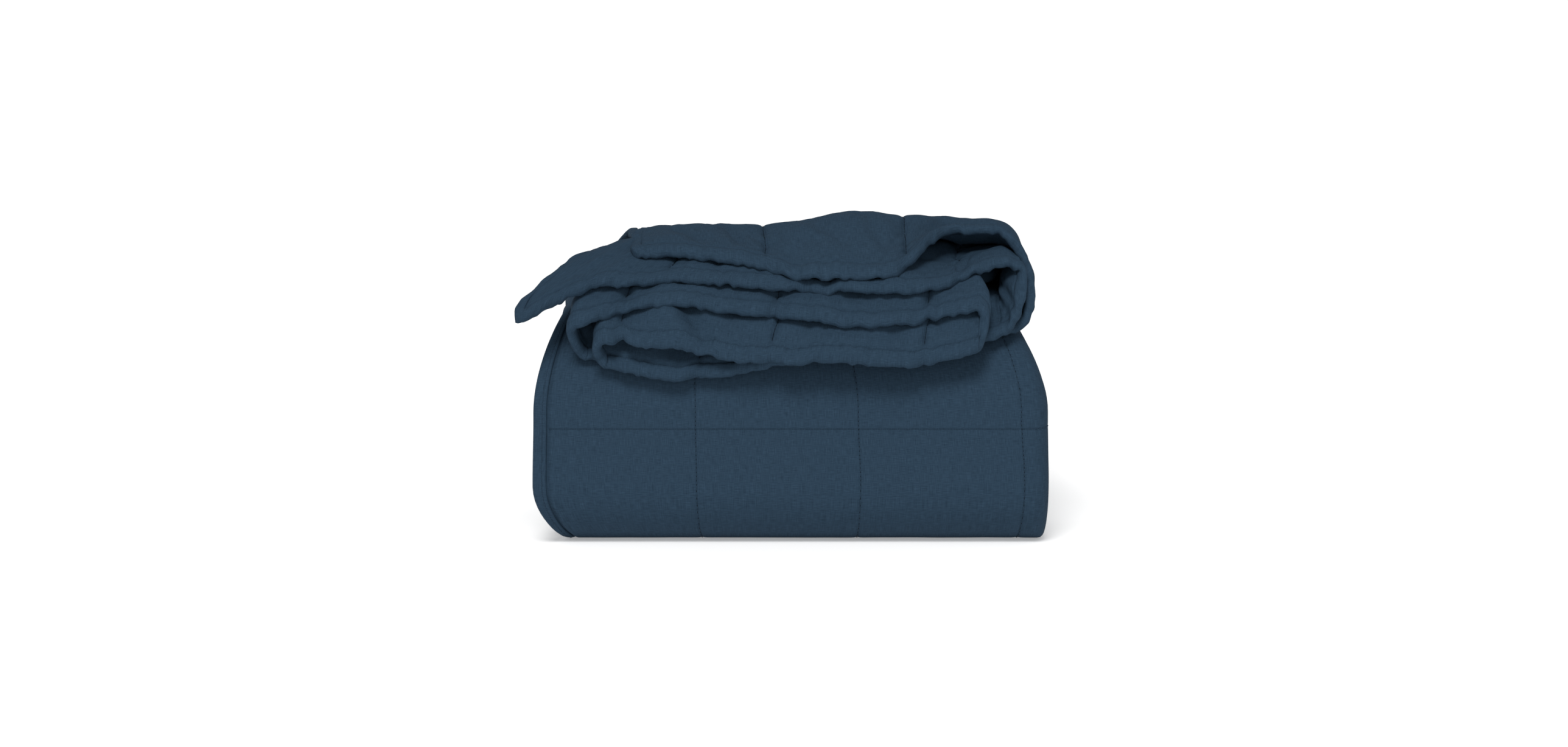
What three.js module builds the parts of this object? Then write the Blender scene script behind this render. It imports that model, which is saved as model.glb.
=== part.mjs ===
// A box-stitched linen quilt, folded in half and in thirds to a strip of six plies. The strip is
// rolled flat from its inner end. Its last turn lies loose on top, and the end hem droops over the front.
import * as THREE from "three";

// The flat quilt, in millimetres
const BOX = 120; // side of a stitched box
const CUT_WIDTH = 19 * BOX; // across the six plies
const CUT_LENGTH = 1646; // along the rolled strip
const FIRST_ROW = 94; // from the inner end to the first stitch line across
const SEAM_THICKNESS = 3.2; // of the cloth on a stitch line
const PUFF_THICKNESS = 5; // of the cloth in the middle of a box
const BINDING_WIDTH = 10;
const BINDING_THICKNESS = 4.6;
const BINDING_EDGE_THICKNESS = 2.4; // at its rounded outer edge
const BINDING_ROUNDED = 3; // width of the rounded part
const HEM_FADE = 30; // width over which the cloth takes on the binding's thickness
const PIECE_GAP = 0.3; // between the cloth and its binding

// The rolled strip
const PLY_PITCH = 7; // from one ply to the next
const DEPTH = 358; // of the lower stack, front to back
const LAYER_PITCH = 43; // from one strip layer to the next
const BROW_RADIUS = 52; // of the strip's middle at the front top edge
const TOE_RADIUS = 24; // and at the front bottom edge
const HEEL_RADIUS = 60; // and at the back bottom edge
const SHOULDER_RADIUS = 72; // and at the back top edge
const FLAT_BELOW = 1.3; // cloth nearer the table than this lies flat on it

// The middle of the folded quilt's footprint, which becomes the origin
const FOOTPRINT_MIDDLE = { x: -3.63, y: -9.98 };

const STRIP_HALF = 2.5 * PLY_PITCH + PUFF_THICKNESS / 2;
const BASE_Z = STRIP_HALF;
const TOP_Z = BASE_Z + 3 * LAYER_PITCH;
const LOOSE_Z = TOP_Z + 2 * STRIP_HALF + 1.5;
const BROW_Z = TOP_Z - BROW_RADIUS;
const FRONT_Y = STRIP_HALF - DEPTH / 2;
const BACK_Y = -FRONT_Y;
const BROW_Y = FRONT_Y + BROW_RADIUS;
const INNER_FRONT_Y = FRONT_Y + 2 * STRIP_HALF + 1 + LAYER_PITCH / 2;
const INNER_BACK_Y = BACK_Y - 2 * STRIP_HALF - 1 - LAYER_PITCH;
const TAIL_Y = INNER_BACK_Y - 6;
const DROOP_RADIUS = LOOSE_Z - BROW_Z;
const LIFT_TO_OFFSET = BROW_RADIUS + STRIP_HALF - DROOP_RADIUS;

// The strip's way from its inner end to its drooping end: straight runs, and turns of a radius
// through degrees. Steps is how many cells a row is cut into.
const PATH_START = { y: TAIL_Y, z: BASE_Z + 2 * LAYER_PITCH, heading: Math.PI, s: 0 };
const PATH = [
  { part: "tail", run: TAIL_Y - INNER_FRONT_Y, steps: 1 },
  { part: "inner front fold", radius: LAYER_PITCH / 2, turn: 180, steps: 3 },
  { part: "inner run", run: INNER_BACK_Y - INNER_FRONT_Y, steps: 1 },
  { part: "inner back fold", radius: LAYER_PITCH, turn: 180, steps: 4 },
  { part: "top run", run: INNER_BACK_Y - BROW_Y, steps: 1 },
  { part: "brow", radius: BROW_RADIUS, turn: 90, steps: 4 },
  { part: "front", run: BROW_Z - BASE_Z - TOE_RADIUS, steps: 1 },
  { part: "toe", radius: TOE_RADIUS, turn: 90, steps: 3 },
  { part: "base", run: BACK_Y - HEEL_RADIUS - FRONT_Y - TOE_RADIUS, steps: 2 },
  { part: "heel", radius: HEEL_RADIUS, turn: 90, steps: 4 },
  { part: "back", run: LOOSE_Z - SHOULDER_RADIUS - BASE_Z - HEEL_RADIUS, steps: 1 },
  { part: "shoulder", radius: SHOULDER_RADIUS, turn: 90, steps: 5 },
  { part: "loose run", run: BACK_Y - SHOULDER_RADIUS - BROW_Y, steps: 3 },
  { part: "droop", radius: DROOP_RADIUS, turn: 100, steps: 0 },
];

// The strip's left and right edges, and how round its side folds are, where each path row ends
const EDGES = {
  "tail": { left: -184, right: 184, round: 0.8 },
  "inner front fold": { left: -184, right: 184, round: 0.8 },
  "inner run": { left: -184, right: 184, round: 0.8 },
  "inner back fold": { left: -180, right: 180, round: 0.8 },
  "top run": { left: -166, right: 166, round: 0.9 },
  "brow": { left: -186, right: 187, round: 0.8 },
  "front": { left: -187, right: 188, round: 0.7 },
  "toe": { left: -166, right: 188, round: 0.5 },
  "base": { left: -178, right: 186, round: 0.5 },
  "heel": { left: -182, right: 188, round: 0.7 },
  "back": { left: -170, right: 186, round: 0.9 },
  "shoulder": { left: -128, right: 176, round: 1 },
  "loose run": { left: -116, right: 172, round: 1 },
  "droop": { left: -116, right: 172, round: 1 },
};

// The end hem's way through the plies, from the top ply's free corner to the leaf's. A ply goes from
// one x to the other. At even stations along it, lift is its height over the stack below and droop its
// angle past the brow. A fold bulges sideways. Each row ends at a width of the flat quilt, in grid cells
// about as wide as its cell.
const HEM = [
  {
    ply: 5, endsAt: 316, cell: 30, x: [-117, 146],
    lift: [52, 52, 51, 51, 51, 52, 53, 59, 60],
    droop: [23, 23, 27, 32, 37, 37, 34, 10, 8],
  },
  { fold: "outer right", endsAt: 425, cell: 11, bulge: 31 },
  {
    ply: 0, endsAt: 760, cell: 120, x: [157, -155],
    lift: [5, 5, 5, 5],
    droop: [44, 56, 60, 62],
  },
  { fold: "outer left", endsAt: 805, cell: 9, bulge: 12 },
  {
    ply: 3, endsAt: 1123, cell: 60, x: [-159, 138],
    lift: [35, 36, 36, 35, 34, 36],
    droop: [53, 45, 48, 52, 53, 46],
  },
  { fold: "inner right", endsAt: 1154, cell: 8, bulge: 11 },
  {
    ply: 2, endsAt: 1454, cell: 60, x: [138, -140],
    lift: [23, 25, 27, 27, 29, 29],
    droop: [63, 70, 68, 68, 62, 60],
  },
  { fold: "inner left", endsAt: 1484, cell: 8, bulge: 9 },
  {
    ply: 1, endsAt: 1792, cell: 120, x: [-140, 146],
    lift: [11, 12, 12, 12, 13, 14],
    droop: [68, 75, 69, 62, 58, 52],
  },
  { fold: "middle right", endsAt: 1880, cell: 15, bulge: 22 },
  {
    ply: 4, endsAt: CUT_WIDTH, cell: 60, x: [158, -201],
    lift: [43, 42, 42, 42, 43, 44, 43],
    droop: [23, 39, 40, 38, 35, 39, 55],
  },
];
const HEM_ENDS = HEM.map((row) => row.endsAt);
// Where the same rows end in the pressed strip of the lower stack
const PRESSED_ENDS = [364, 419, 760, 805, 1123, 1154, 1454, 1484, 1792, 1880, CUT_WIDTH];
// How many folds lie round each fold
const NEST = {
  "outer right": 0,
  "middle right": 1,
  "inner right": 2,
  "outer left": 0,
  "inner left": 1,
};
const FREE_EDGE_INSET = { first: 0, last: 3 }; // of ply 5 and ply 4 from the strip's left edge
const LOOSENS_OVER = 260; // length over which the plies part towards the end hem
const SKEWS_OVER = 150; // length over which their edges move sideways
// The loose turn's crest over the brow: the top ply's lift at even places from left to right, the angle
// past the brow where it is highest and its spread either way, and how near the end hem it dies away
const CREST = {
  left: -150, right: 180, lift: [-2, 7, 6, 7, 8, 13, 17, 14, 9, 6, 1], at: -4, spread: 22, fade: 70,
};
const CURL = { drop: 3, over: 25 }; // of the top ply's hem
// Places where the loose cloth is pushed in, at a width of the flat quilt and a distance from the end hem:
// how far each spreads, and how far it pushes sideways and out of the strip
const DENTS = [
  { where: "top ply behind its right end", u: 300, fromHem: 42, spreadU: 48, spreadV: 26, x: 0, out: -15 },
  { where: "top ply's free edge", u: 0, fromHem: 58, spreadU: 42, spreadV: 42, x: 0, out: -4 },
  { where: "leaf behind its right end", u: 1925, fromHem: 50, spreadU: 50, spreadV: 30, x: 0, out: -11 },
  { where: "ply 3 under it", u: 1085, fromHem: 79, spreadU: 45, spreadV: 30, x: 0, out: -10 },
  { where: "ply 2 under that", u: 1190, fromHem: 105, spreadU: 45, spreadV: 32, x: 0, out: -5 },
  { where: "ply 1 under that", u: 1762, fromHem: 85, spreadU: 45, spreadV: 32, x: 0, out: -2 },
  { where: "middle right wall", u: 1836, fromHem: 44, spreadU: 30, spreadV: 22, x: -9, out: 0 },
  { where: "inner right mouth", u: 1138, fromHem: 0, spreadU: 40, spreadV: 20, x: -6, out: 0 },
  { where: "inner left mouth", u: 1469, fromHem: 0, spreadU: 40, spreadV: 17, x: 9, out: 0 },
  { where: "outer left mouth", u: 782, fromHem: 0, spreadU: 40, spreadV: 17, x: 9, out: 0 },
];
const ROUNDED = { first: 12, last: 14 }; // the end hem's two corners, on ply 5 and on the leaf

const SNAP = 9; // a grid line nearer than this to a stitch line gives way to it

// The cloth and its binding are the same blue linen
const LINEN = { color: 0x2f4253, roughness: 0.9, metalness: 0 };

const lerp = (a, b, t) => a + (b - a) * t;
const clamp01 = (t) => Math.min(1, Math.max(0, t));
const ease = (t) => clamp01(t) ** 2 * (3 - 2 * clamp01(t));
const radians = THREE.MathUtils.degToRad;

// Walks the path table once and notes where each row starts.
function surveyPath() {
  let from = PATH_START;
  return PATH.map((row) => {
    const length = row.run ?? row.radius * radians(row.turn);
    const surveyed = { ...row, from, length };
    from = { ...pointInRow(surveyed, length), s: from.s + length };
    return surveyed;
  });
}

// Every turn goes the same way round, its centre on the inner side of the strip.
function pointInRow(row, along) {
  const { y, z, heading } = row.from;
  if (row.run !== undefined) {
    return { y: y + along * Math.cos(heading), z: z + along * Math.sin(heading), heading };
  }
  const turned = heading + along / row.radius;
  const centreY = y - row.radius * Math.sin(heading);
  const centreZ = z + row.radius * Math.cos(heading);
  return {
    y: centreY + row.radius * Math.sin(turned),
    z: centreZ - row.radius * Math.cos(turned),
    heading: turned,
  };
}

const SURVEY = surveyPath();
const rowStart = (part) => SURVEY.find((row) => row.part === part).from.s;
const DROOP_FROM = rowStart("droop");
const SLIP_FROM = rowStart("loose run"); // from here the plies slip past each other
const LOOSENING = { from: rowStart("back"), to: rowStart("loose run") };

// The strip at a length along its path: its middle, its outward normal, its edges and how far
// it has loosened.
function stationAt(s) {
  const index = Math.max(SURVEY.findLastIndex((row) => s >= row.from.s), 0);
  const row = SURVEY[index];
  const point = pointInRow(row, s - row.from.s);
  const before = EDGES[PATH[Math.max(index - 1, 0)].part];
  const after = EDGES[row.part];
  const t = ease((s - row.from.s) / row.length);
  return {
    s,
    y: point.y,
    z: point.z,
    outY: Math.sin(point.heading),
    outZ: -Math.cos(point.heading),
    left: lerp(before.left, after.left, t),
    right: lerp(before.right, after.right, t),
    round: lerp(before.round, after.round, t),
    loosened: ease((s - LOOSENING.from) / (LOOSENING.to - LOOSENING.from)),
  };
}

// A smooth curve through values at even stations.
function smoothAlong(values, t) {
  const last = values.length - 1;
  const i = Math.min(Math.floor(t * last), last - 1);
  const f = t * last - i;
  const a = values[Math.max(i - 1, 0)];
  const b = values[i];
  const c = values[i + 1];
  const d = values[Math.min(i + 2, last)];
  return b + 0.5 * f * (c - a + f * (2 * a - 5 * b + 4 * c - d + f * (3 * (b - c) + d - a)));
}

// A point of a folded section at a width of the flat quilt. Section rows end at the given widths.
function sectionAt(rows, ends, u) {
  const i = Math.max(ends.findIndex((end) => u <= end), 0);
  const t = (u - (ends[i - 1] ?? 0)) / (ends[i] - (ends[i - 1] ?? 0));
  return rows[i].fold ? foldPoint(rows[i - 1], rows[i], rows[i + 1], t) : plyPoint(rows[i], t);
}

function plyPoint(row, t) {
  return {
    x: lerp(row.x[0], row.x[1], t),
    lift: smoothAlong(row.lift, t),
    droop: smoothAlong(row.droop, t),
  };
}

// A fold carries on the slopes of the plies it joins.
function foldPoint(before, fold, after, t) {
  const start = plyPoint(before, 1);
  const end = plyPoint(after, 0);
  const startSlope = plyPoint(before, 0.99);
  const endSlope = plyPoint(after, 0.01);
  const startReach = fold.bulge / Math.abs(start.x - startSlope.x);
  const endReach = fold.bulge / Math.abs(end.x - endSlope.x);
  const bend = (key) => {
    const p1 = start[key] + (start[key] - startSlope[key]) * startReach;
    const p2 = end[key] + (end[key] - endSlope[key]) * endReach;
    const k = 1 - t;
    return k ** 3 * start[key] + 3 * k * k * t * p1 + 3 * k * t * t * p2 + t ** 3 * end[key];
  };
  return { x: bend("x"), lift: bend("lift"), droop: bend("droop") };
}

// The pressed strip's section at a station. Its folds nest one ply pitch inside each other.
function pressedRows({ left, right, round }) {
  const level = (row) => (row.ply - 2.5) * PLY_PITCH;
  const spanned = (i) => Math.abs(level(HEM[i - 1]) - level(HEM[i + 1]));
  const depth = (i) => Math.max((round * spanned(i)) / 2, PLY_PITCH / 2);
  const foldX = (i) => {
    const inside = PUFF_THICKNESS / 2 + NEST[HEM[i].fold] * PLY_PITCH + depth(i);
    return HEM[i].fold.endsWith("right") ? right - inside : left + inside;
  };
  const last = HEM.length - 1;
  return HEM.map((row, i) => {
    if (row.fold) return { fold: row.fold, bulge: (4 / 3) * depth(i) };
    const from = i === 0 ? left + FREE_EDGE_INSET.first : foldX(i - 1);
    const to = i === last ? left + FREE_EDGE_INSET.last : foldX(i + 1);
    return { ply: row.ply, x: [from, to], lift: [level(row), level(row)], droop: [0, 0] };
  });
}

// The cloth's middle surface in strip terms: sideways x, and outward from the middle of the strip
// at a station.
function middleAt(cornerU, cornerV) {
  const { u, v } = roundCorner(cornerU, cornerV);
  const hem = sectionAt(HEM, HEM_ENDS, u);
  const hemS = DROOP_FROM + DROOP_RADIUS * radians(hem.droop);
  const slip = clamp01((v - SLIP_FROM) / (CUT_LENGTH - SLIP_FROM));
  const station = stationAt(v + (hemS - CUT_LENGTH) * slip);
  const ends = PRESSED_ENDS.map((end, i) => lerp(end, HEM_ENDS[i], station.loosened));
  const pressed = sectionAt(pressedRows(station), ends, u);
  const fromHem = CUT_LENGTH - v;
  const skewed = clamp01(1 - fromHem / SKEWS_OVER) ** 1.2;
  const parted = ease(1 - fromHem / LOOSENS_OVER);
  const share = clamp01(0.5 + pressed.lift / (5 * PLY_PITCH));
  const x = lerp(pressed.x, hem.x, skewed);
  const out = lerp(pressed.lift, hem.lift + LIFT_TO_OFFSET, parted);
  const lifted = share ** 2 * crestAt(x, station.s, fromHem) - share * curlAt(fromHem);
  const push = dentAt(u, fromHem);
  return { x: x + push.x, out: out + lifted + push.out, station };
}

// The square corners of the end hem are drawn in to round ones.
function roundCorner(u, v) {
  const radius = u < CUT_WIDTH / 2 ? ROUNDED.first : ROUNDED.last;
  const across = 1 - Math.min(u, CUT_WIDTH - u) / radius;
  const along = 1 - (CUT_LENGTH - v) / radius;
  if (across <= 0 || along <= 0) return { u, v };
  const fromSide = radius * (1 - across * Math.sqrt(1 - along ** 2 / 2));
  return {
    u: u < CUT_WIDTH / 2 ? fromSide : CUT_WIDTH - fromSide,
    v: CUT_LENGTH - radius * (1 - along * Math.sqrt(1 - across ** 2 / 2)),
  };
}

function crestAt(x, s, fromHem) {
  const across = clamp01((x - CREST.left) / (CREST.right - CREST.left));
  const pastBrow = THREE.MathUtils.radToDeg((s - DROOP_FROM) / DROOP_RADIUS);
  const hump = Math.exp(-(((pastBrow - CREST.at) / CREST.spread) ** 2));
  return smoothAlong(CREST.lift, across) * hump * ease(fromHem / CREST.fade);
}

function curlAt(fromHem) {
  return CURL.drop * clamp01(1 - fromHem / CURL.over) ** 2;
}

function dentAt(u, fromHem) {
  const push = { x: 0, out: 0 };
  for (const dent of DENTS) {
    const across = (u - dent.u) / dent.spreadU;
    const along = (fromHem - dent.fromHem) / dent.spreadV;
    const near = Math.exp(-(across ** 2) - along ** 2);
    push.x += dent.x * near;
    push.out += dent.out * near;
  }
  return push;
}

// A point of the cloth, half its thickness to the face side or the back side of its middle surface.
function clothPoint(u, v, half) {
  const middle = middleAt(u, v);
  const nudge = 0.5;
  const before = middleAt(Math.max(u - nudge, 0), v);
  const after = middleAt(Math.min(u + nudge, CUT_WIDTH), v);
  const length = Math.hypot(after.x - before.x, after.out - before.out);
  const x = middle.x - ((after.out - before.out) / length) * half;
  const out = middle.out + ((after.x - before.x) / length) * half;
  const { y, z, outY, outZ } = middle.station;
  const height = z + outZ * out;
  return new THREE.Vector3(
    x - FOOTPRINT_MIDDLE.x,
    y + outY * out - FOOTPRINT_MIDDLE.y,
    height < FLAT_BELOW ? 0 : height,
  );
}

const fromEdge = (u, v) => Math.min(u, CUT_WIDTH - u, v, CUT_LENGTH - v);

// The padding rises between the stitch lines of each box and meets the binding at the binding's thickness.
function quiltHalf(u, v) {
  const across = Math.abs(Math.sin((Math.PI * u) / BOX));
  const along = Math.abs(Math.sin((Math.PI * (v - FIRST_ROW)) / BOX));
  const puffed = lerp(SEAM_THICKNESS, PUFF_THICKNESS, Math.sqrt(across * along));
  const inside = ease((fromEdge(u, v) - BINDING_WIDTH) / HEM_FADE);
  return lerp(BINDING_THICKNESS, puffed, inside) / 2;
}

function bindingHalf(u, v) {
  const rounded = clamp01(fromEdge(u, v) / BINDING_ROUNDED);
  return lerp(BINDING_EDGE_THICKNESS, BINDING_THICKNESS, rounded) / 2;
}

function evenLines(from, to, steps) {
  return Array.from({ length: steps }, (_, i) => lerp(from, to, i / steps));
}

// Grid lines across the flat quilt: even through the folds, on the boxes through the plies.
function widthLines() {
  return HEM.flatMap((row, i) => {
    const from = HEM[i - 1]?.endsAt ?? 0;
    if (row.fold) return evenLines(from, row.endsAt, Math.round((row.endsAt - from) / row.cell));
    const first = Math.floor(from / row.cell) + 1;
    const count = Math.floor(row.endsAt / row.cell) + 1 - first;
    const onBoxes = Array.from({ length: count }, (_, n) => (first + n) * row.cell);
    return [from, ...onBoxes.filter((line) => line - from > SNAP && row.endsAt - line > SNAP)];
  });
}

// Grid lines along it: even through each path row, with the stitch lines that show kept among them.
function lengthLines() {
  const pathLines = SURVEY.flatMap(({ from, length, steps }) => evenLines(from.s, from.s + length, steps));
  const lines = [...pathLines, ...evenLines(DROOP_FROM, CUT_LENGTH, 4)];
  const count = Math.floor((CUT_LENGTH - BOX / 2 - FIRST_ROW) / BOX) + 1;
  const stitchLines = Array.from({ length: count }, (_, i) => FIRST_ROW + i * BOX);
  const shown = stitchLines.filter((line) => line > rowStart("brow"));
  const clear = lines.filter((line) => shown.every((mark) => Math.abs(line - mark) > SNAP));
  return [...clear, ...shown].sort((a, b) => a - b);
}

function inner(lines, inset, total) {
  return [inset, ...lines.filter((l) => l > inset + SNAP && l < total - inset - SNAP), total - inset];
}

// A closed sheet over the wanted cells of a grid of widths and lengths.
function sheetSolid(widths, lengths, halfAt, wanted) {
  const positions = [];
  const indices = [];
  const numbers = new Map();
  const vertex = (i, j, side) => {
    const key = `${i},${j},${side}`;
    if (!numbers.has(key)) {
      numbers.set(key, positions.length / 3);
      const half = side * halfAt(widths[i], lengths[j]);
      positions.push(...clothPoint(widths[i], lengths[j], half).toArray());
    }
    return numbers.get(key);
  };
  const quad = (a, b, c, d) => indices.push(a, b, c, a, c, d);
  const inGrid = (i, j) => i >= 0 && j >= 0 && i < widths.length - 1 && j < lengths.length - 1;
  const has = (i, j) => inGrid(i, j) && wanted(i, j);
  // A rim's diagonal runs the same way seen from either side, so that neighbouring rims stay apart.
  const rim = (i0, j0, i1, j1) => {
    const corners = [vertex(i0, j0, -1), vertex(i1, j1, -1), vertex(i1, j1, 1), vertex(i0, j0, 1)];
    if (i0 + j0 > i1 + j1) corners.push(corners.shift());
    quad(...corners);
  };
  for (let i = 0; i < widths.length - 1; i++) {
    for (let j = 0; j < lengths.length - 1; j++) {
      if (!has(i, j)) continue;
      quad(vertex(i, j, 1), vertex(i, j + 1, 1), vertex(i + 1, j + 1, 1), vertex(i + 1, j, 1));
      quad(vertex(i, j, -1), vertex(i + 1, j, -1), vertex(i + 1, j + 1, -1), vertex(i, j + 1, -1));
      if (!has(i - 1, j)) rim(i, j, i, j + 1);
      if (!has(i + 1, j)) rim(i + 1, j + 1, i + 1, j);
      if (!has(i, j - 1)) rim(i + 1, j, i, j);
      if (!has(i, j + 1)) rim(i, j + 1, i + 1, j + 1);
    }
  }
  const geometry = new THREE.BufferGeometry();
  geometry.setAttribute("position", new THREE.Float32BufferAttribute(positions, 3));
  geometry.setIndex(indices);
  geometry.computeVertexNormals();
  return geometry;
}

function quiltSolid(widths, lengths) {
  const u = inner(widths, BINDING_WIDTH, CUT_WIDTH);
  const v = inner(lengths, BINDING_WIDTH, CUT_LENGTH);
  return sheetSolid(u, v, quiltHalf, () => true);
}

function bindingSolid(widths, lengths) {
  const inset = BINDING_WIDTH - PIECE_GAP;
  const bordered = (lines, total) => {
    const insideLines = inner(lines, inset, total);
    return [0, BINDING_ROUNDED, ...insideLines, total - BINDING_ROUNDED, total];
  };
  const u = bordered(widths, CUT_WIDTH);
  const v = bordered(lengths, CUT_LENGTH);
  const inBorder = (i, cells) => i < 2 || i >= cells - 2;
  const wanted = (i, j) => inBorder(i, u.length - 1) || inBorder(j, v.length - 1);
  return sheetSolid(u, v, bindingHalf, wanted);
}

function piece(name, geometry, materialName) {
  const material = new THREE.MeshStandardMaterial({ name: materialName, ...LINEN });
  const mesh = new THREE.Mesh(geometry, material);
  mesh.name = name;
  return mesh;
}

function build() {
  const widths = widthLines();
  const lengths = lengthLines();
  const group = new THREE.Group();
  group.name = "linen_quilt";
  group.add(piece("quilt", quiltSolid(widths, lengths), "linen"));
  group.add(piece("binding", bindingSolid(widths, lengths), "binding_linen"));
  return group;
}

export default build();
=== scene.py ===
"""Dresses a folded linen quilt: its fine cloth, binding, stitches and linen, in a plain studio.

Sizes are in millimetres and angles in degrees until a mesh is made, which is in metres. On the flat
quilt, u is the width across the folded plies and v the length along the rolled strip. The end hem,
which droops over the front, is at v = CUT_LENGTH.
"""

import math
from typing import NamedTuple

import bpy
import numpy as np
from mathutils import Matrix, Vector

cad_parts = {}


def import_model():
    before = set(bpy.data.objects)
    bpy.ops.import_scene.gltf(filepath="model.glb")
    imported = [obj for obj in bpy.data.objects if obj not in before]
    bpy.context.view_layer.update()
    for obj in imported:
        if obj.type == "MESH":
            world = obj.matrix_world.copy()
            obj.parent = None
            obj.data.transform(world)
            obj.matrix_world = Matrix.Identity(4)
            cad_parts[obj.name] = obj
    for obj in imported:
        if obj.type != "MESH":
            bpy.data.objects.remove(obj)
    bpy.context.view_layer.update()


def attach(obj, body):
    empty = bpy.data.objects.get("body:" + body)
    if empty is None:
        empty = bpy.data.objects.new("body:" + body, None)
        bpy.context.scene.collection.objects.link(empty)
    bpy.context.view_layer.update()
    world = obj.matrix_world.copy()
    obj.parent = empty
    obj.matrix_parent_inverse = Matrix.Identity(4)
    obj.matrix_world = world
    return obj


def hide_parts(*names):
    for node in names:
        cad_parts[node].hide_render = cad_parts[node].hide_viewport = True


# The flat quilt
BOX = 120.0  # side of a stitched box
CUT_WIDTH = 19 * BOX
CUT_LENGTH = 1646.0
FIRST_ROW = 94.0  # from the inner end to the first stitch line across
PUFF_THICKNESS = 5.0
BINDING_WIDTH = 10.0
BINDING_THICKNESS = 4.6

# The rolled strip, with the same sizes as the part's solids
PLY_PITCH = 7.0
DEPTH = 358.0
LAYER_PITCH = 43.0
BROW_RADIUS = 52.0
TOE_RADIUS = 24.0
HEEL_RADIUS = 60.0
SHOULDER_RADIUS = 72.0
LOOSE_GAP, INNER_GAP = 1.5, 1.0  # between the loose turn and the pile, and round the inner turns
TAIL_SHORT = 6.0  # of the strip's inner end
FOOTPRINT_MIDDLE = (-3.63, -9.98)

STRIP_HALF = 2.5 * PLY_PITCH + PUFF_THICKNESS / 2
BASE_Z = STRIP_HALF
TOP_Z = BASE_Z + 3 * LAYER_PITCH
LOOSE_Z = TOP_Z + 2 * STRIP_HALF + LOOSE_GAP
BROW_Z = TOP_Z - BROW_RADIUS
FRONT_Y = STRIP_HALF - DEPTH / 2
BACK_Y = -FRONT_Y
BROW_Y = FRONT_Y + BROW_RADIUS
INNER_FRONT_Y = FRONT_Y + 2 * STRIP_HALF + INNER_GAP + LAYER_PITCH / 2
INNER_BACK_Y = BACK_Y - 2 * STRIP_HALF - INNER_GAP - LAYER_PITCH
TAIL_Y = INNER_BACK_Y - TAIL_SHORT
DROOP_RADIUS = LOOSE_Z - BROW_Z
LIFT_TO_OFFSET = BROW_RADIUS + STRIP_HALF - DROOP_RADIUS


class Way(NamedTuple):
    """A straight run of the strip or a turn of a radius, with the strip's edges where it ends."""

    part: str
    left: float
    right: float
    rounded: float  # 1 where its side folds are round, less where they are squarer
    run: float = 0.0
    radius: float = 0.0
    turn: float = 0.0


PATH = [
    Way("tail", -184, 184, 0.8, run=TAIL_Y - INNER_FRONT_Y),
    Way("inner front fold", -184, 184, 0.8, radius=LAYER_PITCH / 2, turn=180),
    Way("inner run", -184, 184, 0.8, run=INNER_BACK_Y - INNER_FRONT_Y),
    Way("inner back fold", -180, 180, 0.8, radius=LAYER_PITCH, turn=180),
    Way("top run", -166, 166, 0.9, run=INNER_BACK_Y - BROW_Y),
    Way("brow", -186, 187, 0.8, radius=BROW_RADIUS, turn=90),
    Way("front", -187, 188, 0.7, run=BROW_Z - BASE_Z - TOE_RADIUS),
    Way("toe", -166, 188, 0.2, radius=TOE_RADIUS, turn=90),
    Way("base", -178, 186, 0.2, run=BACK_Y - HEEL_RADIUS - FRONT_Y - TOE_RADIUS),
    Way("heel", -182, 188, 0.7, radius=HEEL_RADIUS, turn=90),
    Way("back", -170, 186, 0.9, run=LOOSE_Z - SHOULDER_RADIUS - BASE_Z - HEEL_RADIUS),
    Way("shoulder", -128, 176, 1.0, radius=SHOULDER_RADIUS, turn=90),
    Way("loose run", -116, 172, 1.0, run=BACK_Y - SHOULDER_RADIUS - BROW_Y),
    Way("droop", -116, 172, 1.0, radius=DROOP_RADIUS, turn=100),
]


class Ply(NamedTuple):
    """A ply of the end hem: its way in x, and its lift and droop at even stations along it."""

    ply: int
    ends: float  # width of the flat quilt where it ends, at the hem
    pressed: float  # and in the pressed strip
    x: tuple
    lift: tuple
    droop: tuple


class Fold(NamedTuple):
    """A fold between two plies. Nest is how many folds lie round it, and side is where it bulges to."""

    side: int
    ends: float
    pressed: float
    bulge: float
    nest: int


HEM = [
    Ply(
        5, 316, 364, (-117, 146),
        (52, 52, 51, 51, 51, 52, 53, 59, 60),
        (23, 23, 27, 32, 37, 37, 34, 10, 8),
    ),
    Fold(1, 425, 419, 31, 0),
    Ply(0, 760, 760, (157, -155), (5, 5, 5, 5), (44, 56, 60, 62)),
    Fold(-1, 805, 805, 12, 0),
    Ply(3, 1123, 1123, (-159, 138), (35, 36, 36, 35, 34, 36), (53, 45, 48, 52, 53, 46)),
    Fold(1, 1154, 1154, 11, 2),
    Ply(2, 1454, 1454, (138, -140), (23, 25, 27, 27, 29, 29), (63, 70, 68, 68, 62, 60)),
    Fold(-1, 1484, 1484, 9, 1),
    Ply(1, 1792, 1792, (-140, 146), (11, 12, 12, 12, 13, 14), (68, 75, 69, 62, 58, 52)),
    Fold(1, 1880, 1880, 22, 1),
    Ply(4, 2280, 2280, (158, -206), (43, 42, 42, 42, 43, 44, 43), (23, 39, 40, 38, 35, 40, 57)),
]
LEAF_EDGE_INSET = 3.0  # of ply 4's free edge from the strip's left edge
NEAT_LEFT, DRAWN_IN = -187.0, 21.0  # ply 5's edge is drawn in from here, and its stitch lines are not
DRAWN_POWER = 4  # how fast that fades across the ply
SQUARE_FROM, SQUARE_GAIN = 0.7, 25.0  # ply 5 takes up width from its fold where that is less rounded
LOOSENS_OVER = 260.0  # length over which the plies part towards the end hem
SKEWS_OVER, SKEW_POWER = 150.0, 1.2  # length over which their edges move sideways, and how fast
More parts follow.
